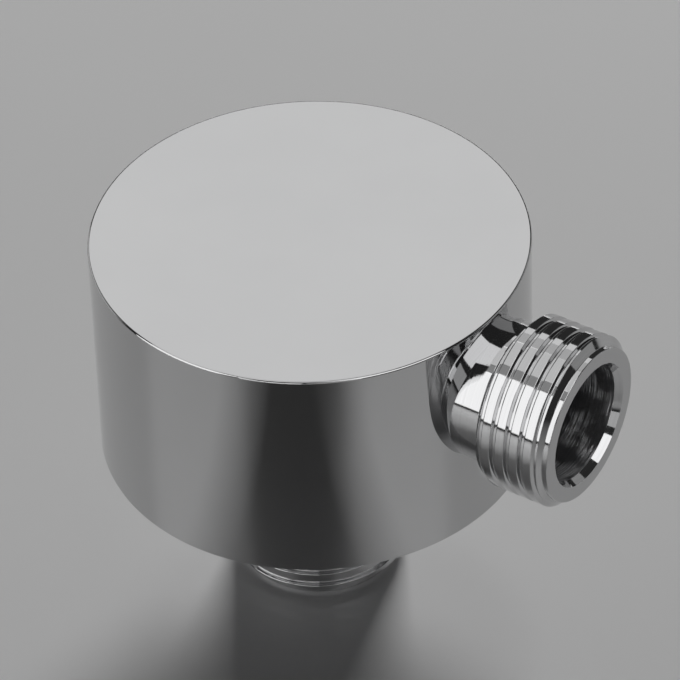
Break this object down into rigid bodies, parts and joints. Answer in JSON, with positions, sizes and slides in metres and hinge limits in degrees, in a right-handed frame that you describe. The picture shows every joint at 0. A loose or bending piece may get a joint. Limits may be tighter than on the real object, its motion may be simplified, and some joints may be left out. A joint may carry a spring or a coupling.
{
  "type": "wall outlet elbow",
  "caption": "Round chrome-plated brass wall elbow that turns a threaded inlet behind it into a threaded hose outlet at its side.",
  "frame": {"origin": "on the inlet axis, in the plane of the wall that the housing's rim sits on", "axes": "+Z out of the wall, square to the flat front face; +X along the hose outlet; the inlet points along -Z"},
  "size_m": [0.0629, 0.051, 0.047],
  "materials": {
    "chrome_plate": "mirror-polished chrome plate on brass outside, duller plate with drill rings in the bores"
  },
  "bodies": {
    "root": {"elbow_body": "chrome_plate"}
  },
  "joints": []
}
